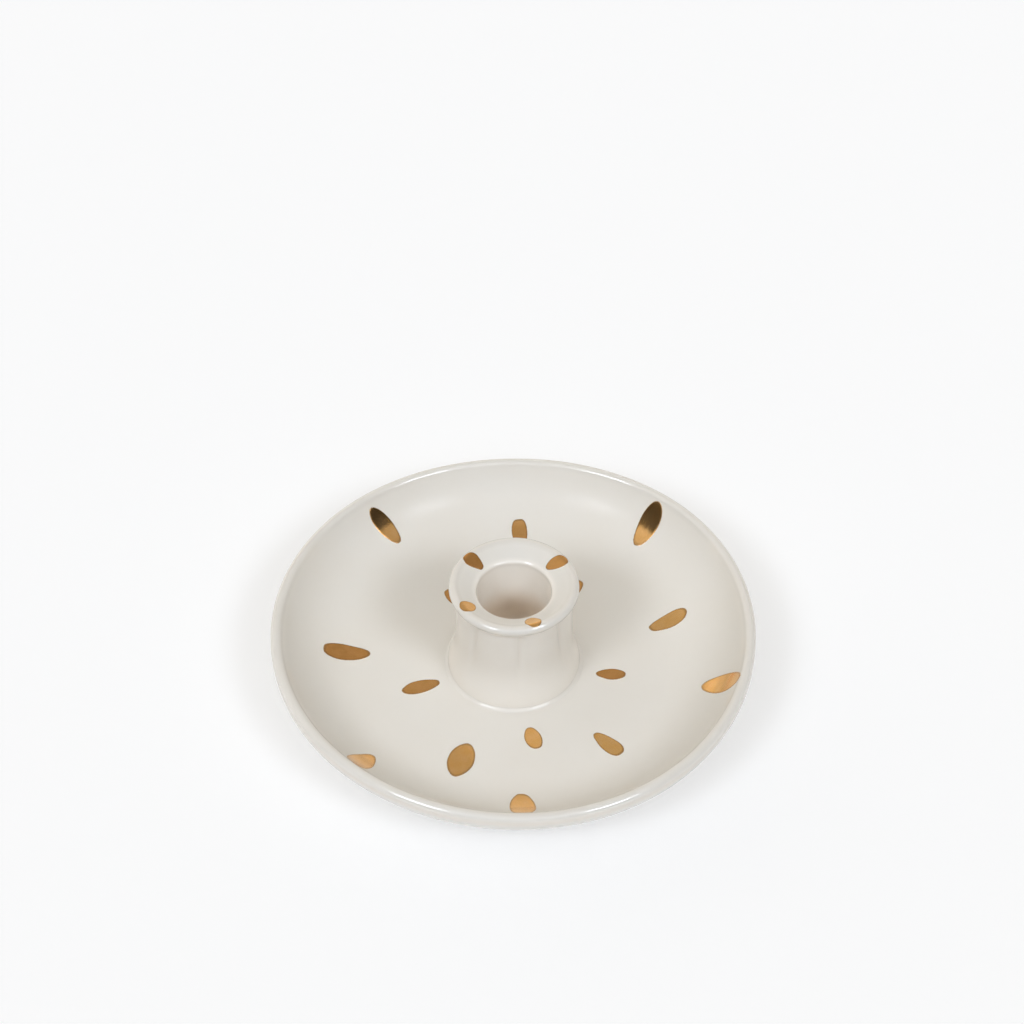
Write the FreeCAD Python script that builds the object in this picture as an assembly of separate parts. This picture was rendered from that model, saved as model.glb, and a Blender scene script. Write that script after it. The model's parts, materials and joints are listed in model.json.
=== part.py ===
import FreeCAD, Part
import math
import os

# Candle plate: a shallow white porcelain saucer on a foot ring, with a candle cup standing in its
# middle and dabs of gold lustre scattered over the glaze.
# The origin is on the table under the middle of the saucer, and +Z is up.
# Every section is drawn as radius and height, and turned about the Z axis.
# Lengths are in millimetres and angles in degrees, counted anticlockwise from +X seen from above.

# Saucer
plate_diameter = 155.0
plate_height = 23.25
foot_ring_height = 2.5
floor_thickness = 4.5
floor_radius = 50.0
lip_thickness = 3.6
rim_band_height = 1.6
rim_under_round = 4.0
underside_radius = 50.0
foot_ring_radius = 46.0
foot_ring_width = 3.6
foot_ring_round = 0.9
vent_diameter = 3.0

# Band of slip that joins the cup to the saucer
slip_thickness = 0.5
slip_squeeze = 0.35

# Candle cup
candle_diameter = 22.0
candle_clearance = 0.5
neck_wall = 6.9
collar_overhang = 1.85
foot_flare = 2.8
cup_height = 35.9
mouth_drop = 3.0
mouth_round = 1.2
collar_lip_round = 1.7
collar_under_round = 3.0
socket_floor_thickness = 4.4
socket_bottom_round = 4.0
cup_foot_round = 1.2
recess_wall = 4.0
recess_depth = 3.5
recess_round = 2.0
lobe_count = 8
crease_depth = 0.9
first_crease_bearing = 5.0
collar_root_share = 1.5

# How the stem changes from its foot to the collar: share of the height, share of the foot's flare,
# share of the creases' full depth
stem_shares = (
    (0.00, 1.00, 0.00),
    (0.06, 0.84, 0.00),
    (0.13, 0.59, 0.03),
    (0.20, 0.32, 0.15),
    (0.28, 0.13, 0.38),
    (0.38, 0.03, 0.65),
    (0.52, 0.00, 0.88),
    (0.72, 0.00, 1.00),
    (1.00, 0.00, 1.00),
)

# Gold lustre
gold_thickness = 0.15
gold_clearance = 0.16
dab_length = 16.0
dab_width = 8.0
collar_dab_length = 6.2
collar_dab_width = 5.0
dab_tip_power = 0.72
dab_points = 7

# Dabs on the saucer: bearing, then shares of the way from the cup's foot to the lip, of the dab
# length and of the dab width, how far the dab is turned, and where along it it is widest
plate_dab_shares = (
    (129.1, 0.825, 0.87, 0.72, 15.0, 0.48),
    (49.6, 0.843, 0.96, 0.86, -1.0, 0.46),
    (88.0, 0.590, 0.68, 0.65, 12.0, 0.50),
    (59.0, 0.249, 0.66, 0.62, 0.0, 0.50),
    (126.0, 0.181, 0.62, 0.62, 0.0, 0.50),
    (18.6, 0.542, 0.86, 0.75, 11.0, 0.55),
    (176.9, 0.564, 0.90, 0.79, 1.0, 0.58),
    (-10.7, 0.174, 0.54, 0.48, 9.0, 0.50),
    (-14.2, 0.834, 1.06, 0.98, -11.0, 0.52),
    (-159.5, 0.177, 0.70, 0.63, -2.0, 0.52),
    (-79.7, 0.198, 0.58, 0.61, 9.0, 0.50),
    (-49.8, 0.419, 0.69, 0.69, 5.0, 0.54),
    (-112.0, 0.392, 0.85, 1.00, 1.0, 0.48),
    (-135.3, 0.800, 0.99, 0.94, 12.0, 0.50),
    (-87.7, 0.706, 0.88, 0.89, 0.0, 0.48),
)

# Dabs on the collar: bearing, then shares of the way from the mouth to the collar's edge, of the
# collar dab length and width, how far the dab is turned, and where along it it is widest
collar_dab_shares = (
    (141.9, 0.50, 1.02, 0.94, 13.0, 0.58),
    (36.3, 0.50, 1.02, 0.88, -22.0, 0.54),
    (-148.3, 0.52, 0.84, 0.92, 16.0, 0.54),
    (-70.0, 0.42, 0.98, 0.96, 3.0, 0.50),
)

# Lengths worked out from the sizes above
plate_radius = plate_diameter / 2
floor_top = foot_ring_height + floor_thickness
lip_round = lip_thickness / 2
lip_height = plate_height - lip_round
lip_radius = plate_radius - lip_round
bore_radius = candle_diameter / 2 + candle_clearance
neck_radius = bore_radius + neck_wall
collar_radius = neck_radius + collar_overhang
cup_foot_radius = neck_radius + foot_flare
cup_base = floor_top + slip_thickness
cup_top = cup_base + cup_height
mouth_height = cup_top - mouth_drop
recess_radius = cup_foot_radius - recess_wall
socket_bottom = cup_base + recess_depth + socket_floor_thickness


def point(radius, height):
    return FreeCAD.Vector(radius, 0, height)


def on_arc(centre, radius, angle):
    turn = math.radians(angle)
    return centre + FreeCAD.Vector(radius * math.cos(turn), 0, radius * math.sin(turn))


class Section:
    """A closed outline of lines and arcs in the radius and height plane."""

    def __init__(self, radius, height):
        self.start = point(radius, height)
        self.here = self.start
        self.edges = []

    def line(self, radius, height):
        self.line_to(point(radius, height))

    def line_to(self, end):
        self.edges.append(Part.LineSegment(self.here, end).toShape())
        self.here = end

    def arc(self, centre, radius, start_angle, end_angle):
        middle = on_arc(centre, radius, (start_angle + end_angle) / 2)
        end = on_arc(centre, radius, end_angle)
        self.edges.append(Part.Arc(self.here, middle, end).toShape())
        self.here = end

    def turned(self):
        self.line_to(self.start)
        face = Part.Face(Part.Wire(self.edges))
        return face.revolve(FreeCAD.Vector(), FreeCAD.Vector(0, 0, 1), 360)


def sweep_radius(run, rise, end_round):
    """Radius of the arc that leaves a level line and ends on a small arc, run out and rise up.

    A positive end_round bends the other way than the sweep, and a negative one the same way.
    """
    return (run ** 2 + rise ** 2 - end_round ** 2) / (2 * (rise + end_round))


def sweep_slope(run, rise, radius):
    return math.degrees(math.atan2(run, radius - rise))


# Inside of the saucer: the level floor, then one arc up to the rounded lip
wall_run = lip_radius - floor_radius
wall_rise = lip_height - floor_top
wall_radius = sweep_radius(wall_run, wall_rise, lip_round)
wall_slope = sweep_slope(wall_run, wall_rise, wall_radius)
wall_centre = point(floor_radius, floor_top + wall_radius)

# Outside of the saucer: the level underside, then one arc up to the band round the rim
band_bottom = lip_height - rim_band_height
under_run = plate_radius - rim_under_round - underside_radius
under_rise = band_bottom - foot_ring_height
under_sweep = sweep_radius(under_run, under_rise, -rim_under_round)
under_slope = sweep_slope(under_run, under_rise, under_sweep)
under_centre = point(underside_radius, foot_ring_height + under_sweep)

# Collar: the lip, the fillet that carries it on the neck, and the dished face down to the mouth
collar_lip = point(collar_radius - collar_lip_round, cup_top - collar_lip_round)
collar_root = neck_radius - collar_root_share * crease_depth
fillet_out = collar_root + collar_under_round - collar_lip.x
fillet_reach = collar_under_round + collar_lip_round
fillet_down = math.sqrt(fillet_reach ** 2 - fillet_out ** 2)
fillet_centre = collar_lip + point(fillet_out, -fillet_down)
fillet_angle = math.degrees(math.atan2(fillet_down, fillet_out))
mouth_centre = point(bore_radius + mouth_round, mouth_height - mouth_round)
dish = collar_lip - mouth_centre
dish_angle = math.degrees(math.atan2(dish.z, dish.x)
                          + math.acos((mouth_round - collar_lip_round) / dish.Length))
stem_bottom = cup_base + cup_foot_round
stem_top = on_arc(collar_lip, collar_lip_round, -fillet_angle).z


def make_plate():
    ring_outside = foot_ring_radius
    ring_inside = foot_ring_radius - foot_ring_width
    section = Section(vent_diameter / 2, floor_top)
    section.line(floor_radius, floor_top)
    section.arc(wall_centre, wall_radius, -90, wall_slope - 90)
    section.arc(point(lip_radius, lip_height), lip_round, wall_slope + 90, 90)
    section.arc(point(lip_radius, lip_height), lip_round, 90, 0)
    section.line(plate_radius, band_bottom)
    section.arc(point(plate_radius - rim_under_round, band_bottom), rim_under_round, 0, under_slope - 90)
    section.arc(under_centre, under_sweep, under_slope - 90, -90)
    section.line(ring_outside, foot_ring_height)
    section.line(ring_outside, foot_ring_round)
    section.arc(point(ring_outside - foot_ring_round, foot_ring_round), foot_ring_round, 0, -90)
    section.line(ring_inside + foot_ring_round, 0)
    section.arc(point(ring_inside + foot_ring_round, foot_ring_round), foot_ring_round, -90, -180)
    section.line(ring_inside, foot_ring_height)
    section.line(vent_diameter / 2, foot_ring_height)
    return section.turned()


def make_joining_slip():
    outside = cup_foot_radius - cup_foot_round + slip_squeeze
    section = Section(recess_radius, floor_top)
    section.line(outside, floor_top)
    section.line(outside, cup_base)
    section.line(recess_radius, cup_base)
    return section.turned()


def stem_ring(height, crest_radius, depth):
    """One level of the stem: an arc for each lobe, from crease to crease."""
    def at(radius, bearing):
        turn = math.radians(bearing)
        return FreeCAD.Vector(radius * math.cos(turn), radius * math.sin(turn), height)

    lobe_angle = 360 / lobe_count
    arcs = []
    for lobe in range(lobe_count):
        crease = first_crease_bearing + lobe * lobe_angle
        start = at(crest_radius - depth, crease)
        crest = at(crest_radius, crease + lobe_angle / 2)
        end = at(crest_radius - depth, crease + lobe_angle)
        arcs.append(Part.Arc(start, crest, end).toShape())
    return Part.Wire(arcs)


def make_stem():
    rings = []
    for height_share, flare_share, crease_share in stem_shares:
        height = stem_bottom + height_share * (stem_top - stem_bottom)
        crest_radius = neck_radius + flare_share * foot_flare
        rings.append(stem_ring(height, crest_radius, crease_share * crease_depth))
    return Part.makeLoft(rings, True, False)


def make_core():
    """The round inside of the cup: its foot, the socket's wall and floor, and the collar."""
    socket_corner = point(bore_radius - socket_bottom_round, socket_bottom + socket_bottom_round)
    section = Section(0, cup_base)
    section.line(cup_foot_radius - cup_foot_round, cup_base)
    section.arc(point(cup_foot_radius - cup_foot_round, stem_bottom), cup_foot_round, -90, 0)
    section.line(collar_root, stem_bottom)
    section.line(collar_root, fillet_centre.z)
    section.arc(fillet_centre, collar_under_round, 180, 180 - fillet_angle)
    section.arc(collar_lip, collar_lip_round, -fillet_angle, dish_angle)
    section.line_to(on_arc(mouth_centre, mouth_round, dish_angle))
    section.arc(mouth_centre, mouth_round, dish_angle, 180)
    section.line(bore_radius, socket_bottom + socket_bottom_round)
    section.arc(socket_corner, socket_bottom_round, 0, -90)
    section.line(0, socket_bottom)
    return section.turned()


def make_skin_bore():
    """The round space that the core fills inside the stem."""
    middle = (bore_radius + mouth_round + collar_root) / 2
    section = Section(0, stem_bottom)
    section.line(middle, stem_bottom)
    section.line(middle, stem_top)
    section.line(0, stem_top)
    return section.turned()


def make_recess():
    top = cup_base + recess_depth
    section = Section(0, cup_base)
    section.line(recess_radius, cup_base)
    section.line(recess_radius, top - recess_round)
    section.arc(point(recess_radius - recess_round, top - recess_round), recess_round, 0, 90)
    section.line(0, top)
    return section.turned()


def make_candle_cup():
    skin = make_stem().cut(make_skin_bore())
    return skin.fuse(make_core()).cut(make_recess()).removeSplitter()


def make_plate_film():
    """A thin layer just above the glaze, from the cup's foot to the lip."""
    low = gold_clearance
    high = gold_clearance + gold_thickness
    section = Section(cup_foot_radius, floor_top + low)
    section.line(floor_radius, floor_top + low)
    section.arc(wall_centre, wall_radius - low, -90, wall_slope - 90)
    section.line_to(on_arc(wall_centre, wall_radius - high, wall_slope - 90))
    section.arc(wall_centre, wall_radius - high, wall_slope - 90, -90)
    section.line(cup_foot_radius, floor_top + high)
    return section.turned()


def make_collar_film():
    """A thin layer just above the collar's dished face and over its lip."""
    low = gold_clearance
    high = gold_clearance + gold_thickness
    start = on_arc(mouth_centre, mouth_round + low, dish_angle)
    section = Section(start.x, start.z)
    section.line_to(on_arc(collar_lip, collar_lip_round + low, dish_angle))
    section.arc(collar_lip, collar_lip_round + low, dish_angle, 0)
    section.line_to(on_arc(collar_lip, collar_lip_round + high, 0))
    section.arc(collar_lip, collar_lip_round + high, 0, dish_angle)
    section.line_to(on_arc(mouth_centre, mouth_round + high, dish_angle))
    return section.turned()


def dab_wire(length, width, widest_share):
    """A brush dab lying along X: blunt tips, and widest at its share of the length."""
    skew = math.log(0.5) / math.log(widest_share)
    sides = {1: [], -1: []}
    for step in range(1, dab_points + 1):
        along = step / (dab_points + 1)
        half = width / 2 * math.sin(math.pi * along ** skew) ** dab_tip_power
        for side in sides:
            sides[side].append(FreeCAD.Vector((along - 0.5) * length, side * half, 0))
    tail = FreeCAD.Vector(-length / 2, 0, 0)
    tip = FreeCAD.Vector(length / 2, 0, 0)
    curve = Part.BSplineCurve()
    curve.interpolate([tail] + sides[-1] + [tip] + sides[1][::-1], PeriodicFlag=True)
    return Part.Wire(curve.toShape())


def make_dab(film, place, slope, bearing, length, width, turn, widest_share):
    """The piece of a film inside one dab, drawn square to the glaze at the dab's place."""
    face = Part.Face(dab_wire(length, width, widest_share))
    face.translate(FreeCAD.Vector(0, 0, -length / 2))
    block = face.extrude(FreeCAD.Vector(0, 0, length))
    block.rotate(FreeCAD.Vector(), FreeCAD.Vector(0, 0, 1), turn)
    block.rotate(FreeCAD.Vector(), FreeCAD.Vector(0, -1, 0), slope)
    block.translate(place)
    block.rotate(FreeCAD.Vector(), FreeCAD.Vector(0, 0, 1), bearing)
    return film.common(block)


def make_plate_dab(film, bearing, place_share, length_share, width_share, turn, widest_share):
    wall_length = wall_radius * math.radians(wall_slope)
    path = cup_foot_radius + place_share * (floor_radius + wall_length - cup_foot_radius)
    slope = math.degrees(max(path - floor_radius, 0) / wall_radius)
    if slope > 0:
        place = on_arc(wall_centre, wall_radius, slope - 90)
    else:
        place = point(path, floor_top)
    return make_dab(film, place, slope, bearing, length_share * dab_length,
                    width_share * dab_width, turn, widest_share)


def make_collar_dab(film, bearing, place_share, length_share, width_share, turn, widest_share):
    start = on_arc(mouth_centre, mouth_round, dish_angle)
    radius = start.x + place_share * (collar_radius - start.x)
    height = start.z + (radius - start.x) * math.tan(math.radians(dish_angle - 90))
    return make_dab(film, point(radius, height), 0, bearing, length_share * collar_dab_length,
                    width_share * collar_dab_width, turn, widest_share)


def main():
    pieces = {
        "plate": make_plate(),
        "joining_slip": make_joining_slip(),
        "candle_cup": make_candle_cup(),
    }
    plate_film = make_plate_film()
    for number, shares in enumerate(plate_dab_shares, 1):
        pieces["plate_gold_dab_%02d" % number] = make_plate_dab(plate_film, *shares)
    collar_film = make_collar_film()
    for number, shares in enumerate(collar_dab_shares, 1):
        pieces["collar_gold_dab_%02d" % number] = make_collar_dab(collar_film, *shares)

    os.makedirs("parts", exist_ok=True)
    for name, shape in pieces.items():
        shape.exportStep(os.path.join("parts", name + ".step"))
        print(name, "solids", len(shape.Solids), "valid", shape.isValid(), "volume", round(shape.Volume, 2))


main()
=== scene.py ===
import json
import math
from collections import namedtuple

import bpy
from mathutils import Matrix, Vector, noise


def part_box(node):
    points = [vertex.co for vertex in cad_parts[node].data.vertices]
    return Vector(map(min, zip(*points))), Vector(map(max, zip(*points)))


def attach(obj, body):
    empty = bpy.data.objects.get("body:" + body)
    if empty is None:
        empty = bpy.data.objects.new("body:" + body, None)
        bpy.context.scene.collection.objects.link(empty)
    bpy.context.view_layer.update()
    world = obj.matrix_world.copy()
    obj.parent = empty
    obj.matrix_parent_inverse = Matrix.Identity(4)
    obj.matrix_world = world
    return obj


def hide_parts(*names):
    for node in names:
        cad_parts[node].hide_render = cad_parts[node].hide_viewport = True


# Looks of a candle plate: a glazed white porcelain saucer with a lobed candle cup in its middle
# and dabs of gold lustre. Lengths are in metres, and angles in degrees, anticlockwise from +X.

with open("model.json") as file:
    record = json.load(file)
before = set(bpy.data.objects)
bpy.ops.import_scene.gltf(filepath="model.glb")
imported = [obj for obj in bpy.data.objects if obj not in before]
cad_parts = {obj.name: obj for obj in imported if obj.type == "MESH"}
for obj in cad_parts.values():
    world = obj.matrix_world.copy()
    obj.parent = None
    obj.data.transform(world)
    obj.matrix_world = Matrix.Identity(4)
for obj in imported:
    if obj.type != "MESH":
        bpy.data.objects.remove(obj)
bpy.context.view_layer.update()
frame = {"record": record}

# Sizes that the frame gives
plate_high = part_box("plate")[1]
slip_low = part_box("joining_slip")[0]
cup_low, cup_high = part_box("candle_cup")
plate_radius = plate_high.x
plate_height = plate_high.z
floor_top = slip_low.z
cup_base = cup_low.z
cup_top = cup_high.z
cup_foot_radius = cup_high.x
mounts = {mount["name"]: mount for mount in frame["record"]["mounts"]}
bore_radius = mounts["candle_socket"]["dims"]["r_mm"] / 1000

# Saucer
floor_radius = 0.050
lip_round = 0.0018
rim_band_height = 0.0016
rim_under_round = 0.004
underside_radius = 0.050
foot_ring_height = 0.0025
foot_ring_radius = 0.046
foot_ring_width = 0.0036
foot_ring_round = 0.0009
vent_radius = 0.0015
vent_round = 0.0004

# Candle cup
neck_wall = 0.0069
collar_overhang = 0.0021
mouth_drop = 0.003
mouth_round = 0.0012
mouth_flare = 0.0004
mouth_flare_depth = 0.008
collar_lip_round = 0.0017
collar_under_round = 0.003
socket_depth = 0.025
socket_bottom_round = 0.004
cup_foot_round = 0.0007
recess_wall = 0.004
recess_depth = 0.0035
recess_round = 0.002
flare_height_share = 0.27
flare_power = 1.8
lobe_count = 8
lobe_depth = 0.00040
lobe_swell = 0.00050
groove_depth = 0.00036
groove_width = 0.0013
front_crease_bearing = -85.0
crease_start_share = 0.52
crease_power = 2.6
crease_splay = 14.0

# Glaze that fills the corner between the cup's foot and the saucer, over the slip
seam_round = 0.0013
seam_sink = 0.00008
seam_width = 0.003

# How far the hand-made rim strays from a circle: waves round it, height, bearing of a crest
rim_waves = (
    (2, 0.00010, -130.0),
    (3, 0.00042, 122.0),
    (4, 0.00026, 170.0),
)
rim_lift_waves = (
    (2, 0.00022, 40.0),
    (3, 0.00012, -70.0),
)
ripple_height = 0.00005
ripple_length = 0.014

# Gold lustre: the sizes that the dabs' shares refer to, the film that stands over the glaze, and
# its ragged edge, which differs from dab to dab by a seed
dab_length = 0.016
dab_width = 0.008
collar_dab_length = 0.0062
collar_dab_width = 0.005
dab_rise = 0.00006
dab_sink = 0.00006
dab_edge_power = 8
dab_ragged_share = 0.04
dab_ragged_length = 1.7
dab_ragged_step = 5.3
collar_dab_first_seed = 21

# A dab: its bearing, then shares of the way out, of the dab length and of the dab width, how far
# it is turned, where along it it is widest, how tapered its inner and outer ends are, and its tone
# from dark to bright, which is partly the gold's own and partly a painted reflection of how brightly
# it catches the light
Dab = namedtuple("Dab", "bearing place_share length_share width_share turn widest_share "
                        "inner_taper outer_taper tone")

# Dabs on the saucer, whose way out goes from the cup's foot to the lip
plate_dab_shares = (
    (129.0, 0.834, 0.97, 0.73, 14.0, 0.48, 0.38, 0.52, 0.55),
    (49.75, 0.852, 1.06, 0.90, 0.0, 0.50, 0.42, 0.48, 0.60),
    (88.0, 0.590, 0.69, 0.66, 5.0, 0.50, 0.35, 0.24, 0.40),
    (58.0, 0.250, 0.66, 0.66, 0.0, 0.50, 0.45, 0.36, 0.30),
    (125.5, 0.199, 0.62, 0.62, 0.0, 0.50, 0.45, 0.36, 0.10),
    (18.2, 0.542, 0.88, 0.72, 12.0, 0.54, 0.29, 0.41, 0.85),
    (177.1, 0.560, 0.98, 0.84, 1.0, 0.54, 0.36, 0.38, 0.05),
    (-11.2, 0.178, 0.60, 0.57, 9.5, 0.50, 0.46, 0.50, 0.10),
    (-14.4, 0.848, 1.22, 1.00, -14.0, 0.47, 0.54, 0.50, 0.50),
    (-159.0, 0.179, 0.78, 0.66, -3.0, 0.49, 0.38, 0.50, 0.25),
    (-79.6, 0.204, 0.57, 0.67, 8.0, 0.50, 0.42, 0.42, 0.60),
    (-49.9, 0.417, 0.73, 0.69, 4.5, 0.60, 0.27, 0.36, 1.00),
    (-111.7, 0.399, 0.88, 1.06, 4.0, 0.47, 0.50, 0.62, 0.72),
    (-134.9, 0.802, 0.99, 0.98, 12.0, 0.54, 0.46, 0.32, 0.50),
    (-87.6, 0.704, 0.89, 1.02, 1.0, 0.50, 0.36, 0.36, 0.60),
)

# Dabs on the collar, whose way out goes from the mouth to the collar's edge
collar_dab_shares = (
    (140.8, 0.47, 1.20, 0.96, 12.0, 0.62, 0.26, 0.40, 0.00),
    (35.6, 0.495, 1.25, 0.90, -23.0, 0.56, 0.38, 0.36, 0.20),
    (-147.0, 0.55, 1.00, 1.02, 16.0, 0.55, 0.38, 0.42, 0.50),
    (-69.5, 0.50, 1.10, 1.00, 3.0, 0.50, 0.42, 0.42, 0.70),
)

# How finely the meshes are drawn, the steps that feel out the glaze's slope under a dab, and a
# length too small to count
plate_sides = 384
cup_sides = 320
longest_step = 0.0015
widest_turn = 7.0
stem_fineness = 2
dab_sides = 56
dab_rings = 7
dab_ring_power = 1.6
probe_length = 0.0002
probe_turn = 0.2
hair = 0.00004

# Marks on the glaze, from 0 to 1: thin over an edge, painted shade darkening a corner, a crease
# and the stem under the collar, painted light brightening the socket, the mouth, the stem and the
# seam, painted shade deep in the socket, bare of glaze, and tight and shiny round a lip. The start
# and end shares say between where a mark changes: of the crease's and of the socket's depth, up
# the foot ring's round and, in from the rim, of the lip's round. A point nearer to the centre of a
# round than near_share of its radius counts as on it.
rim_thin = 0.55
lip_thin = 0.15
# Painted shade: a darker glaze colour laid in the corner at the cup's foot, in the stem's creases and
# under the collar
foot_painted_shade = 0.10
crease_painted_shade = 0.60
valley_start_share = 0.4
under_collar_painted_shade = 0.22
under_collar_reach = 0.007
# Painted light: a paler glaze colour that brightens the socket, the mouth's round, the stem and the
# seam bead
socket_painted_light = 0.9
stem_painted_light = 0.5
seam_painted_light = 0.12
# Painted shade: a darker, warmer glaze colour deep in the socket
deep_start_share = 0.38
deep_end_share = 0.85
bare_start_share = 0.3
bare_end_share = 0.7
tight_start_share = 2.2
tight_end_share = 1.6
near_share = 1.05

# Glaze: the two shades that mottle it, what it turns to at each mark, and the bare clay. The
# darker colour laid in corners, creases and under the collar and the one deep in the socket are
# painted shade, and the paler one on the socket, stem and seam is painted light. Its roughness goes
# from clean to smeared, and its sheen from plain to tight.
glaze_colours = ((0.80, 0.765, 0.70, 1), (0.795, 0.755, 0.685, 1))
mark_colours = {
    "thin": (0.80, 0.71, 0.60, 1),
    # painted shade
    "pool": (0.66, 0.60, 0.52, 1),
    # painted light
    "inside": (0.93, 0.88, 0.80, 1),
    # painted shade
    "deep": (0.74, 0.63, 0.51, 1),
}
clay_colours = ((0.70, 0.65, 0.57, 1), (0.80, 0.76, 0.69, 1))
glaze_ior = 1.5
glaze_roughness = (0.18, 0.24)
tight_smoothness = 0.14
bare_roughness = 0.5
glaze_sheen = (0.14, 1.0)

# Grain of glaze, clay and gold: noise scale and detail, the part of the noise that counts, and
# each bump's strength and height
mottle_grain = (45.0, 3.0)
mottle_range = (0.35, 0.65)
clay_grain = (2200.0, 4.0)
smear_grain = (130.0, 3.0)
swell_grain = (160.0, 1.0)
swell_bump = (0.35, 0.00012)
peel_grain = (1400.0, 2.0)
peel_bump = (0.08, 0.00002)
patch_grain = (380.0, 3.0)
patch_range = (0.3, 0.7)
streak_stretch = (1.2, 14.0, 1.0)
streak_grain = (3.0, 3.0, 0.6)
streak_range = (0.35, 0.75)
streak_share = 0.4
streak_bump = (0.12, 0.00003)

# Gold's colours and roughness
gold_dark_colours = ((0.64, 0.32, 0.10, 1), (0.74, 0.38, 0.14, 1))
gold_bright_colours = ((1.0, 0.60, 0.21, 1), (1.0, 0.65, 0.30, 1))
gold_streak_colour = (0.78, 0.40, 0.12, 1)
gold_edge_colour = (0.42, 0.25, 0.11, 1)
gold_edge_range = (0.84, 1.0)
gold_edge_roughness = 0.15
gold_rough_range = (0.3, 0.7)
gold_roughness = (0.12, 0.2)

# Camera
camera_target = Vector((-0.000605, 0.0, 0.021))
camera_distance = 0.9
camera_bearing = -90.0
camera_elevation = 48.06
camera_pitch = 45.655
camera_lens = 99.29
camera_sensor = 36.0
camera_near = 0.05
camera_far = 20.0

# Lighting: a light tent, warm and pale behind, dark low down in front and pale above, brighter on
# the left, with a wide soft panel at the front and a small bright strip near either end of it.
# Heights and edges are the direction's Z, from 0 level to 1 straight up, and front_to_back its Y.
back_colour = (1.0, 0.94, 0.84)
front_colour = (1.0, 0.98, 0.94)
panel_colour = (0.94, 1.0, 1.10)
back_heights = (0.1, 0.8)
back_low_level = 0.86
back_high_level = 0.48
front_heights = (0.635, 0.675)
front_low_level = 0.05
front_high_level = 0.64
front_to_back = (-0.15, 0.2)
side_lean = 0.37
panel_bearing = -90.0
panel_half_width = 52.0
panel_low_edge = (0.40, 0.54)
panel_high_edge = (0.92, 0.78)
panel_level = 0.95
strip_bearings = (-47.0, -133.0)
strip_elevation = 44.0
strip_half_width = 11.0
strip_half_height = 6.0
strip_soft_edge = 2.0
strip_level = 9.6

# Table top, whose shadow is softened by a little glow where it is seen
table_half = 2.0
table_colour = (0.99, 0.99, 0.99, 1)
table_glow = (1.06, 1.055, 1.05, 1)
table_glow_share = 0.36

# A line or an arc of an outline: where along it it starts, its length, in how many steps it is
# drawn, and what reads a point and a direction off it
Span = namedtuple("Span", "start length steps read")

# What dabs lie on: a surface turned from an outline, where along it their way out starts, how long
# that is, and the dab sizes there
Ground = namedtuple("Ground", "surface outline start reach dab_length dab_width")


class Outline:
    """Lines and arcs in the radius and height plane, read by the length along them."""

    def __init__(self, radius, height):
        self.here = Vector((radius, height))
        self.spans = []
        self.length = 0.0

    def extend(self, end, length, steps, read):
        self.spans.append(Span(self.length, length, steps, read))
        self.length += length
        self.here = end

    def line(self, radius, height):
        start = self.here
        end = Vector((radius, height))
        along = (end - start).normalized()
        length = (end - start).length
        steps = max(1, math.ceil(length / longest_step))
        self.extend(end, length, steps, lambda run: (start + along * run, along))

    def arc(self, centre, radius, start_angle, end_angle):
        way = math.copysign(1, end_angle - start_angle)
        turn = abs(end_angle - start_angle)
        first = math.radians(start_angle)

        def read(run):
            angle = first + way * run / radius
            out = Vector((math.cos(angle), math.sin(angle)))
            return centre + radius * out, way * Vector((-out.y, out.x))

        length = radius * math.radians(turn)
        steps = max(math.ceil(length / longest_step), math.ceil(turn / widest_turn))
        self.extend(read(length)[0], length, steps, read)

    def at(self, length):
        """The point at a length along the outline, and its direction there."""
        for span in self.spans:
            if length <= span.start + span.length:
                break
        return span.read(max(0.0, min(span.length, length - span.start)))

    def stops(self):
        """The lengths at which the outline is drawn."""
        found = [0.0]
        for span in self.spans:
            found += [span.start + span.length * (step + 1) / span.steps for step in range(span.steps)]
        return found


def between(value, low, high):
    """A smooth rise from 0 at a low value to 1 at a high one."""
    share = max(0.0, min(1.0, (value - low) / (high - low)))
    return share * share * (3 - 2 * share)


def polar(radius, angle):
    turn = math.radians(angle)
    return Vector((radius * math.cos(turn), radius * math.sin(turn)))


def waves(table, bearing):
    return sum(height * math.cos(math.radians(count * bearing - crest))
               for count, height, crest in table)


def sweep_radius(run, rise, end_round):
    """Radius of the arc that leaves a level line and ends on a small arc, run out and rise up."""
    return (run ** 2 + rise ** 2 - end_round ** 2) / (2 * (rise + end_round))


def sweep_slope(run, rise, radius):
    return math.degrees(math.atan2(run, radius - rise))


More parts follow.
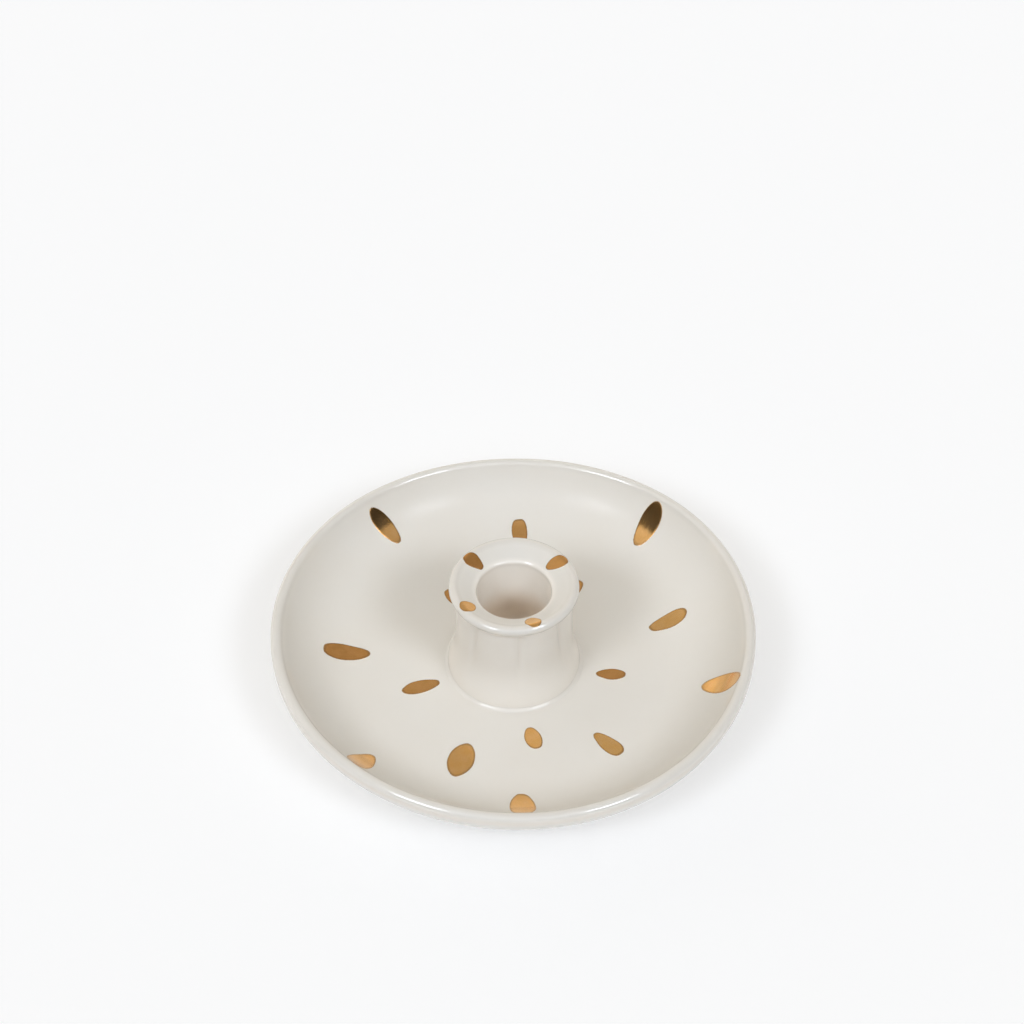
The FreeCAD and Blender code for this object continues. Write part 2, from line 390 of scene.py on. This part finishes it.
def plate_outline():
    """The saucer's section, from the vent's upper edge out over the lip and back underneath."""
    lip_centre = Vector((plate_radius - lip_round, plate_height - lip_round))
    wall_run = lip_centre.x - floor_radius
    wall_rise = lip_centre.y - floor_top
    wall_radius = sweep_radius(wall_run, wall_rise, lip_round)
    wall_slope = sweep_slope(wall_run, wall_rise, wall_radius)
    wall_centre = Vector((floor_radius, floor_top + wall_radius))
    band_bottom = lip_centre.y - rim_band_height
    band_centre = Vector((plate_radius - rim_under_round, band_bottom))
    under_run = plate_radius - rim_under_round - underside_radius
    under_rise = band_bottom - foot_ring_height
    under_radius = sweep_radius(under_run, under_rise, -rim_under_round)
    under_slope = sweep_slope(under_run, under_rise, under_radius)
    under_centre = Vector((underside_radius, foot_ring_height + under_radius))
    ring_outer = foot_ring_radius - foot_ring_round
    ring_inner = foot_ring_radius - foot_ring_width + foot_ring_round
    vent_edge = vent_radius + vent_round

    outline = Outline(vent_edge, floor_top)
    outline.line(floor_radius, floor_top)
    outline.arc(wall_centre, wall_radius, -90, wall_slope - 90)
    outline.arc(lip_centre, lip_round, wall_slope + 90, 0)
    outline.line(plate_radius, band_bottom)
    outline.arc(band_centre, rim_under_round, 0, under_slope - 90)
    outline.arc(under_centre, under_radius, under_slope - 90, -90)
    outline.line(foot_ring_radius, foot_ring_height)
    outline.line(foot_ring_radius, foot_ring_round)
    outline.arc(Vector((ring_outer, foot_ring_round)), foot_ring_round, 0, -90)
    outline.line(ring_inner, 0)
    outline.arc(Vector((ring_inner, foot_ring_round)), foot_ring_round, -90, -180)
    outline.line(foot_ring_radius - foot_ring_width, foot_ring_height)
    outline.line(vent_edge, foot_ring_height)
    outline.arc(Vector((vent_edge, foot_ring_height + vent_round)), vent_round, -90, -180)
    outline.line(vent_radius, floor_top - vent_round)
    outline.arc(Vector((vent_edge, floor_top - vent_round)), vent_round, 180, 90)
    return outline


# The collar's dished face touches the round of the mouth and the round of the lip, and a fillet
# under the lip leads down into the neck
neck_radius = bore_radius + neck_wall
collar_radius = neck_radius + collar_overhang
mouth_height = cup_top - mouth_drop
mouth_centre = Vector((bore_radius + mouth_flare + mouth_round, mouth_height - mouth_round))
collar_lip = Vector((collar_radius - collar_lip_round, cup_top - collar_lip_round))
dish = collar_lip - mouth_centre
dish_angle = math.degrees(math.atan2(dish.y, dish.x)
                          + math.acos((mouth_round - collar_lip_round) / dish.length))
fillet_out = neck_radius + collar_under_round - collar_lip.x
fillet_reach = collar_under_round + collar_lip_round
fillet_down = math.sqrt(fillet_reach ** 2 - fillet_out ** 2)
fillet_centre = collar_lip + Vector((fillet_out, -fillet_down))
fillet_angle = math.degrees(math.atan2(fillet_down, fillet_out))
stem_bottom = cup_base + cup_foot_round
stem_top = fillet_centre.y


def stem_flare(share):
    """How much of the foot's flare is left at a share of the stem's height."""
    return math.exp(-(share / flare_height_share) ** flare_power)


def stem_crease(share):
    """How much of the creases' depth is reached at a share of the stem's height."""
    return 1 - math.exp(-(share / crease_start_share) ** crease_power)


def draw_collar(outline):
    """The collar's dished face and its lip, from the end of the mouth's round."""
    end = collar_lip + polar(collar_lip_round, dish_angle)
    outline.line(end.x, end.y)
    outline.arc(collar_lip, collar_lip_round, dish_angle, -fillet_angle)


def collar_outline():
    """The collar's upper side, from the mouth's edge up the dished face and over the lip."""
    start = mouth_centre + polar(mouth_round, dish_angle)
    outline = Outline(start.x, start.y)
    draw_collar(outline)
    return outline


def draw_stem(outline):
    """The stem's side, from the neck down to the foot."""
    steps = stem_fineness * math.ceil((stem_top - stem_bottom) / longest_step)
    for step in range(1, steps + 1):
        share = 1 - step / steps
        outline.line(neck_radius + stem_flare(share) * (cup_foot_radius - neck_radius),
                     stem_bottom + share * (stem_top - stem_bottom))


def cup_outline():
    """The cup's section: up the socket from its floor, over the collar and back under the foot."""
    socket_bottom = mouth_height - socket_depth
    socket_floor_radius = bore_radius - socket_bottom_round
    socket_corner = Vector((socket_floor_radius, socket_bottom + socket_bottom_round))
    recess_radius = cup_foot_radius - recess_wall
    recess_top = cup_base + recess_depth
    recess_corner = Vector((recess_radius - recess_round, recess_top - recess_round))

    outline = Outline(0, socket_bottom)
    outline.line(socket_floor_radius, socket_bottom)
    outline.arc(socket_corner, socket_bottom_round, -90, 0)
    outline.line(bore_radius, mouth_height - mouth_flare_depth)
    outline.line(bore_radius + mouth_flare, mouth_centre.y)
    outline.arc(mouth_centre, mouth_round, 180, dish_angle)
    draw_collar(outline)
    outline.arc(fillet_centre, collar_under_round, 180 - fillet_angle, 180)
    draw_stem(outline)
    outline.arc(Vector((cup_foot_radius - cup_foot_round, stem_bottom)), cup_foot_round, 0, -90)
    outline.line(recess_radius, cup_base)
    outline.line(recess_radius, recess_corner.y)
    outline.arc(recess_corner, recess_round, 0, 90)
    outline.line(0, recess_top)
    return outline


def seam_outline():
    """The bead of glazed slip in the corner between the cup's foot and the saucer."""
    inner = cup_foot_radius - seam_width
    side = cup_foot_radius - seam_sink
    bottom = floor_top - seam_sink
    top = floor_top + seam_round
    outline = Outline(inner, bottom)
    outline.line(inner, top)
    outline.line(side, top)
    outline.arc(Vector((side + seam_round, top)), seam_round, 180, 270)
    outline.line(side + seam_round, bottom)
    outline.line(inner, bottom)
    return outline


def ripple(point):
    """How far the glaze swells at a point, nothing where the foot ring stands."""
    return ripple_height * noise.noise(point / ripple_length) * min(1.0, point.z / foot_ring_height)


def turned_point(point, direction, bearing):
    """A point of an outline turned to a bearing, with the glaze's ripple along its normal."""
    out = polar(1, bearing).to_3d()
    place = out * point.x + Vector((0, 0, point.y))
    normal = out * -direction.y + Vector((0, 0, direction.x))
    return place + normal * ripple(place)


def plate_point(outline, length, bearing):
    point, direction = outline.at(length)
    stray = Vector((waves(rim_waves, bearing), waves(rim_lift_waves, bearing)))
    spread = between(point.x, foot_ring_radius, plate_radius)
    return turned_point(point + spread * stray, direction, bearing)


def crease_depth_at(point, bearing):
    """How deep the lobes and creases cut into the stem at a point of its outline."""
    share = (point.y - stem_bottom) / (stem_top - stem_bottom)
    if share <= 0:
        return 0.0
    lip_under = collar_lip.y - collar_lip_round
    fade = max(0.0, min(1.0, (lip_under - point.y) / collar_under_round))
    lobe = 360 / lobe_count
    lean = crease_splay * (1 - share) * math.sin(math.radians(bearing - front_crease_bearing))
    off = abs((bearing - lean - front_crease_bearing + lobe / 2) % lobe - lobe / 2)
    across = math.radians(off) * point.x
    valley = (1 - 2 * off / lobe) ** 2
    lobes = lobe_depth * valley - lobe_swell * (1 - valley)
    grooves = groove_depth * math.exp(-(across / groove_width) ** 2)
    return (lobes + grooves) * stem_crease(share) * fade


def on_outside(point, direction):
    """Whether a point of the cup's outline is on its outer side, which runs down."""
    return direction.y < 0 and point.x > bore_radius + mouth_round


def cup_point(outline, length, bearing):
    point, direction = outline.at(length)
    if on_outside(point, direction):
        point = point - Vector((crease_depth_at(point, bearing), 0))
    return turned_point(point, direction, bearing)


def round_point(outline, length, bearing):
    return turned_point(*outline.at(length), bearing)


def turned_skin(outline, surface, sides, closed):
    """Vertices and faces of an outline turned round Z, and each vertex's length and bearing."""
    stops = outline.stops()
    if closed:
        stops = stops[:-1]
    places, rings, faces = [], [], []
    for stop in stops:
        on_axis = outline.at(stop)[0].x < hair
        bearings = [0.0] if on_axis else [360 * side / sides for side in range(sides)]
        rings.append(range(len(places), len(places) + len(bearings)))
        places += [(stop, bearing) for bearing in bearings]
    pairs = list(zip(rings, rings[1:]))
    if closed:
        pairs.append((rings[-1], rings[0]))
    for inner, outer in pairs:
        for side in range(sides):
            after = (side + 1) % sides
            corners = [inner[side % len(inner)], outer[side % len(outer)],
                       outer[after % len(outer)], inner[after % len(inner)]]
            faces.append(list(dict.fromkeys(corners)))
    return [surface(outline, *place) for place in places], faces, places


def add_piece(name, vertices, faces, material, node):
    mesh = bpy.data.meshes.new(name)
    mesh.from_pydata(vertices, [], faces)
    mesh.validate()
    mesh.shade_smooth()
    mesh.materials.append(material)
    piece = bpy.data.objects.new(name, mesh)
    bpy.context.scene.collection.objects.link(piece)
    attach(piece, "root")
    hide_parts(node)
    return piece


def set_mark(piece, name, values):
    attribute = piece.data.attributes.new(name, "FLOAT", "POINT")
    attribute.data.foreach_set("value", values)


def set_marks(piece, outline, places, marks_at):
    """Gives every vertex of a turned piece the marks of its place on the outline."""
    found = [marks_at(*outline.at(length), bearing) for length, bearing in places]
    for name in found[0]:
        set_mark(piece, name, [marks[name] for marks in found])


class Nodes:
    """A material's or the world's node tree, built by name."""

    def __init__(self, tree):
        self.tree = tree
        self.tree.nodes.clear()

    def put(self, target, value):
        """Links an input to a socket, or gives it a plain value."""
        if isinstance(value, bpy.types.NodeSocket):
            self.tree.links.new(value, target)
        else:
            target.default_value = value

    def add(self, kind, inputs=None, **settings):
        node = self.tree.nodes.new("ShaderNode" + kind)
        for name, value in settings.items():
            setattr(node, name, value)
        for name, value in (inputs or {}).items():
            self.put(node.inputs[name], value)
        return node

    def mark(self, name):
        return self.add("Attribute", attribute_name=name).outputs["Fac"]

    def noise(self, coordinates, scale, detail, roughness=0.5):
        return self.add("TexNoise", {"Vector": coordinates, "Scale": scale, "Detail": detail,
                                     "Roughness": roughness}).outputs["Fac"]

    def bump(self, height, strength, distance, **below):
        return self.add("Bump", {"Height": height, "Strength": strength, "Distance": distance,
                                 **below}).outputs["Normal"]

    def span(self, value, low, high, to_low=0.0, to_high=1.0):
        return self.add("MapRange", {"Value": value, "From Min": low, "From Max": high,
                                     "To Min": to_low, "To Max": to_high}).outputs["Result"]

    def math(self, operation, first, second=0.0):
        return self.add("Math", {0: first, 1: second}, operation=operation).outputs["Value"]

    def scaled(self, colour, level):
        """A colour, as a vector, times a level."""
        node = self.add("VectorMath", {0: colour, "Scale": level}, operation="SCALE")
        return node.outputs["Vector"]

    def mix(self, share, first, second):
        """A mix of two colours, each a socket or a plain colour."""
        node = self.add("Mix", {"Factor": share}, data_type="RGBA")
        targets = [target for target in node.inputs if target.type == "RGBA"]
        for target, colour in zip(targets, (first, second)):
            self.put(target, colour)
        return next(result for result in node.outputs if result.type == "RGBA")

    def finish(self, output, shader):
        self.add(output, {"Surface": shader.outputs[0]})


def material_nodes(name):
    material = bpy.data.materials.new(name)
    material.use_nodes = True
    return material, Nodes(material.node_tree)


def glaze_material():
    """Glossy cream-white glaze, faintly mottled, with a colour at each mark: its own where thin or
    bare, painted shade and painted light elsewhere.
    """
    material, nodes = material_nodes("white_glaze")
    place = nodes.add("TexCoord").outputs["Object"]
    bare, tight = nodes.mark("bare"), nodes.mark("tight")
    mottle = nodes.span(nodes.noise(place, *mottle_grain), *mottle_range)
    colour = nodes.mix(mottle, *glaze_colours)
    for mark, mark_colour in mark_colours.items():
        colour = nodes.mix(nodes.mark(mark), colour, mark_colour)
    clay = nodes.mix(nodes.noise(place, *clay_grain), *clay_colours)
    colour = nodes.mix(bare, colour, clay)
    rough = nodes.span(nodes.noise(place, *smear_grain), 0.0, 1.0, *glaze_roughness)
    rough = nodes.math("SUBTRACT", rough, nodes.math("MULTIPLY", tight, tight_smoothness))
    rough = nodes.math("ADD", rough, nodes.math("MULTIPLY", bare, bare_roughness))
    sheen = nodes.span(tight, 0.0, 1.0, *glaze_sheen)
    normal = nodes.bump(nodes.noise(place, *swell_grain), *swell_bump)
    normal = nodes.bump(nodes.noise(place, *peel_grain), *peel_bump, Normal=normal)
    shader = nodes.add("BsdfPrincipled", {"Base Color": colour, "Roughness": rough, "IOR": glaze_ior,
                                          "Specular IOR Level": sheen, "Normal": normal})
    nodes.finish("OutputMaterial", shader)
    return material


def gold_material():
    """Fired gold lustre: brushed on thin, with a darker, duller edge and faint strokes."""
    material, nodes = material_nodes("gold_lustre")
    place = nodes.add("TexCoord").outputs["Object"]
    stroke = nodes.add("UVMap", uv_map="stroke").outputs["UV"]
    streak_place = nodes.add("Mapping", {"Vector": stroke, "Scale": streak_stretch}).outputs["Vector"]
    streak = nodes.noise(streak_place, *streak_grain)
    patch = nodes.span(nodes.noise(place, *patch_grain), *patch_range)
    edge = nodes.span(nodes.mark("edge"), *gold_edge_range)
    dark = nodes.mix(patch, *gold_dark_colours)
    bright = nodes.mix(patch, *gold_bright_colours)
    # the tone darkens or brightens each dab's gold: partly its own, partly a painted reflection
    colour = nodes.mix(nodes.mark("tone"), dark, bright)
    streaked = nodes.span(streak, *streak_range, 0.0, streak_share)
    colour = nodes.mix(streaked, colour, gold_streak_colour)
    colour = nodes.mix(edge, colour, gold_edge_colour)
    rough = nodes.span(streak, *gold_rough_range, *gold_roughness)
    rough = nodes.math("ADD", rough, nodes.math("MULTIPLY", edge, gold_edge_roughness))
    normal = nodes.bump(streak, *streak_bump)
    shader = nodes.add("BsdfPrincipled", {"Base Color": colour, "Roughness": rough, "Metallic": 1.0,
                                          "Normal": normal})
    nodes.finish("OutputMaterial", shader)
    return material


def plate_marks(point, direction, bearing):
    """The marks of a point of the saucer's outline, the same at every bearing."""
    arris_height = plate_height - lip_round - rim_band_height / 3
    arris = 1 - between(abs(point.y - arris_height), 0, lip_round)
    outer = between(point.x, plate_radius - lip_round, plate_radius)
    corner = 1 - between(abs(point.x - cup_foot_radius - seam_round), 0, 2 * seam_round)
    above = point.y > floor_top - vent_round and direction.x > 0
    return {
        "thin": rim_thin * arris * outer,
        # painted shade in the corner at the cup's foot
        "pool": foot_painted_shade * corner if above else 0.0,
        "bare": 1 - between(point.y, bare_start_share * foot_ring_round,
                            bare_end_share * foot_ring_round),
        "tight": between(point.x, plate_radius - tight_start_share * lip_round,
                         plate_radius - tight_end_share * lip_round),
    }


def cup_marks(point, direction, bearing):
    """The marks of a point of the cup's outline at a bearing."""
    outside = on_outside(point, direction)
    in_bore = point.x < bore_radius + mouth_flare and point.y < mouth_centre.y
    near_lip = (point - collar_lip).length < near_share * collar_lip_round
    near_mouth = (point - mouth_centre).length < near_share * mouth_round
    on_stem = outside and point.y < collar_lip.y - collar_lip_round / 2
    under_collar = outside and point.y < collar_lip.y
    crest = 1 - between(abs(point.y - cup_top), 0, collar_lip_round / 2)
    full = lobe_depth + groove_depth
    crease = crease_depth_at(point, bearing)
    valley = between(crease, valley_start_share * full, full) if outside else 0.0
    under = between(point.y, stem_top - under_collar_reach, stem_top) if under_collar else 0.0
    # painted shade, darker deeper in the socket
    deep = between(mouth_height - point.y, deep_start_share * socket_depth,
                   deep_end_share * socket_depth)
    return {
        "thin": lip_thin * crest,
        # painted shade in the stem's creases and under the collar
        "pool": max(crease_painted_shade * valley, under_collar_painted_shade * under),
        # painted light on the socket, the mouth's round and the stem
        "inside": socket_painted_light if in_bore or near_mouth else stem_painted_light if on_stem else 0.0,
        "deep": deep if in_bore else 0.0,
        "bare": 1.0 if point.y <= cup_base + hair else 0.0,
        "tight": 1.0 if near_lip or near_mouth else 0.0,
    }


def seam_marks(point, direction, bearing):
    # painted light brightens the seam bead
    return {"inside": seam_painted_light, "tight": 1.0}


def make_turned(name, outline, surface, marks_at, sides, material, node, closed):
    """A piece turned on the wheel: its outline swept round, and its glaze marked."""
    vertices, faces, places = turned_skin(outline, surface, sides, closed)
    piece = add_piece(name, vertices, faces, material, node)
    set_marks(piece, outline, places, marks_at)


def make_plate(material):
    make_turned("saucer", plate_outline(), plate_point, plate_marks, plate_sides,
                material, "plate", closed=True)


def make_cup(material):
    make_turned("candle_cup_body", cup_outline(), cup_point, cup_marks, cup_sides,
                material, "candle_cup", closed=False)


def make_seam(material):
    make_turned("seam_bead", seam_outline(), round_point, seam_marks, cup_sides,
                material, "joining_slip", closed=True)


def dab_edge(dab, length, width, seed):
    """Points round a dab that lies along X, with a brush's slightly ragged edge."""
    skew = math.log(0.5) / math.log(dab.widest_share)
    points = []
    for side in range(dab_sides):
        turn = 2 * math.pi * side / dab_sides
        along = (1 - math.cos(turn)) / 2
        taper = dab.inner_taper + (dab.outer_taper - dab.inner_taper) * along
        half = width / 2 * max(math.sin(math.pi * along ** skew), 0) ** taper
        sample = Vector((dab_ragged_length * math.cos(turn), dab_ragged_length * math.sin(turn),
                         dab_ragged_step * seed))
        ragged = 1 + dab_ragged_share * noise.noise(sample)
        points.append(Vector(((along - 0.5) * length, math.copysign(half, math.sin(turn)))) * ragged)
    return points


def film_point(ground, dab, spot, lift):
    """Where a dab's spot, along and across it, lies over the glaze, lifted off it."""
    path = ground.start + dab.place_share * ground.reach
    tilt = math.radians(dab.turn)
    out = spot.x * math.cos(tilt) - spot.y * math.sin(tilt)
    side = spot.x * math.sin(tilt) + spot.y * math.cos(tilt)
    length = path + out
    bearing = dab.bearing + math.degrees(side / ground.outline.at(path)[0].x)

    def glaze(further, aside):
        return ground.surface(ground.outline, length + further, bearing + aside)

    outward = glaze(probe_length, 0) - glaze(-probe_length, 0)
    aside = glaze(0, probe_turn) - glaze(0, -probe_turn)
    return glaze(0, 0) + outward.cross(aside).normalized() * lift


def film_faces():
    """Faces of a film: an upper and a lower side, and the band between their edges."""
    layer = 1 + dab_rings * dab_sides
    top = layer - dab_sides
    bottom = layer + top
    afters = [(spot + 1) % dab_sides for spot in range(dab_sides)]
    faces = []
    for first, order in ((0, 1), (layer, -1)):
        for spot, after in enumerate(afters):
            faces.append([first, first + 1 + after, first + 1 + spot][::order])
            for ring in range(dab_rings - 1):
                inner = first + 1 + ring * dab_sides
                outer = inner + dab_sides
                faces.append([inner + spot, inner + after, outer + after, outer + spot][::order])
    for spot, after in enumerate(afters):
        faces.append([top + spot, top + after, bottom + after, bottom + spot])
    return faces


def make_dab(name, node, seed, ground, dab, material):
    """A closed thin film over the glaze, rounded down to it at the edge."""
    length = dab.length_share * ground.dab_length
    width = dab.width_share * ground.dab_width
    edge = dab_edge(dab, length, width, seed)
    middle = Vector((0, 0))
    vertices, edges, strokes = [], [], []
    for lift, edge_lift in ((dab_rise, 0.0), (-dab_sink, -dab_sink)):
        for ring in range(dab_rings + 1):
            share = 1 - (1 - ring / dab_rings) ** dab_ring_power
            fall = 1 - math.sqrt(1 - share ** dab_edge_power)
            for spot in edge if ring else [middle]:
                height = lift + (edge_lift - lift) * fall
                vertices.append(film_point(ground, dab, spot * share, height))
                edges.append(share)
                strokes.append((spot.x * share / length + 0.5, spot.y * share / width + 0.5))
    piece = add_piece(name, vertices, film_faces(), material, node)
    set_mark(piece, "edge", edges)
    set_mark(piece, "tone", [dab.tone] * len(vertices))
    layer = piece.data.uv_layers.new(name="stroke")
    for loop in piece.data.loops:
        layer.data[loop.index].uv = strokes[loop.vertex_index]


def make_plate_dabs(material):
    outline = plate_outline()
    start = cup_foot_radius - outline.at(0)[0].x
    floor, wall = outline.spans[:2]
    reach = floor.length + wall.length - start
    ground = Ground(plate_point, outline, start, reach, dab_length, dab_width)
    for number, shares in enumerate(plate_dab_shares, 1):
        make_dab("gold_dab_saucer_%02d" % number, "plate_gold_dab_%02d" % number, number,
                 ground, Dab(*shares), material)


def make_collar_dabs(material):
    outline = collar_outline()
    reach = (collar_radius - outline.at(0)[0].x) / math.sin(math.radians(dish_angle))
    ground = Ground(round_point, outline, 0, reach, collar_dab_length, collar_dab_width)
    for number, shares in enumerate(collar_dab_shares, 1):
        make_dab("gold_dab_collar_%02d" % number, "collar_gold_dab_%02d" % number,
                 collar_dab_first_seed + number - 1, ground, Dab(*shares), material)


def towards(bearing, elevation):
    flat = polar(math.cos(math.radians(elevation)), bearing)
    return Vector((flat.x, flat.y, math.sin(math.radians(elevation))))


def make_camera():
    data = bpy.data.cameras.new("camera")
    data.lens = camera_lens
    data.sensor_width = camera_sensor
    data.clip_start = camera_near
    data.clip_end = camera_far
    camera = bpy.data.objects.new("camera", data)
    bpy.context.scene.collection.objects.link(camera)
    camera.location = camera_target + camera_distance * towards(camera_bearing, camera_elevation)
    camera.rotation_euler = (math.radians(90 - camera_pitch), 0, 0)
    bpy.context.scene.camera = camera


def near(nodes, value, middle, half):
    """1 within half of a middle value, falling to 0 over the soft edge beyond it."""
    off = nodes.math("ABSOLUTE", nodes.math("SUBTRACT", value, middle))
    return nodes.span(off, half + strip_soft_edge, half)


def panel_light(nodes, across, ahead, up):
    """How bright the front's panel and its two strips are in a direction."""
    bearing = nodes.math("DEGREES", nodes.math("ARCTAN2", ahead, across))
    elevation = nodes.math("DEGREES", nodes.math("ARCSINE", up))
    width = near(nodes, bearing, panel_bearing, panel_half_width)
    light = nodes.math("MULTIPLY", width, nodes.span(up, *panel_low_edge))
    light = nodes.math("MULTIPLY", light, nodes.span(up, *panel_high_edge, 0.0, panel_level))
    for middle in strip_bearings:
        strip = nodes.math("MULTIPLY", near(nodes, bearing, middle, strip_half_width),
                           near(nodes, elevation, strip_elevation, strip_half_height))
        light = nodes.math("ADD", light, nodes.math("MULTIPLY", strip, strip_level))
    return light


def make_world():
    """A light tent round the piece, whose level follows the direction."""
    world = bpy.data.worlds.new("studio")
    bpy.context.scene.world = world
    world.use_nodes = True
    nodes = Nodes(world.node_tree)
    direction = nodes.add("TexCoord").outputs["Generated"]
    way = nodes.add("SeparateXYZ", {0: direction})
    across, ahead, up = way.outputs["X"], way.outputs["Y"], way.outputs["Z"]
    back = nodes.span(up, *back_heights, back_low_level, back_high_level)
    front = nodes.span(up, *front_heights, front_low_level, front_high_level)
    tent = nodes.mix(nodes.span(ahead, *front_to_back), nodes.scaled(front_colour, front),
                     nodes.scaled(back_colour, back))
    tent = nodes.scaled(tent, nodes.span(across, -1.0, 1.0, 1 + side_lean, 1 - side_lean))
    panel = nodes.scaled(panel_colour, panel_light(nodes, across, ahead, up))
    light = nodes.add("VectorMath", {0: tent, 1: panel}, operation="ADD").outputs["Vector"]
    nodes.finish("OutputWorld", nodes.add("Background", {"Color": light, "Strength": 1.0}))


def table_material():
    material, nodes = material_nodes("table_white")
    seen = nodes.add("LightPath")
    shown = nodes.math("MAXIMUM", seen.outputs["Is Camera Ray"], seen.outputs["Is Glossy Ray"])
    shown = nodes.math("MAXIMUM", shown, seen.outputs["Is Transmission Ray"])
    share = nodes.math("MULTIPLY", shown, table_glow_share)
    diffuse = nodes.add("BsdfDiffuse", {"Color": table_colour})
    glow = nodes.add("Emission", {"Color": table_glow, "Strength": 1.0})
    mix = nodes.add("MixShader", {0: share, 1: diffuse.outputs[0], 2: glow.outputs[0]})
    nodes.finish("OutputMaterial", mix)
    return material


def make_floor():
    """A plain white table top."""
    corners = [(-table_half, -table_half, 0), (table_half, -table_half, 0),
               (table_half, table_half, 0), (-table_half, table_half, 0)]
    mesh = bpy.data.meshes.new("floor")
    mesh.from_pydata(corners, [], [(0, 1, 2, 3)])
    mesh.materials.append(table_material())
    floor = bpy.data.objects.new("floor", mesh)
    bpy.context.scene.collection.objects.link(floor)


glaze = glaze_material()
gold = gold_material()
make_plate(glaze)
make_cup(glaze)
make_seam(glaze)
make_plate_dabs(gold)
make_collar_dabs(gold)
make_floor()
make_world()
make_camera()
bpy.context.scene.view_settings.view_transform = "Standard"
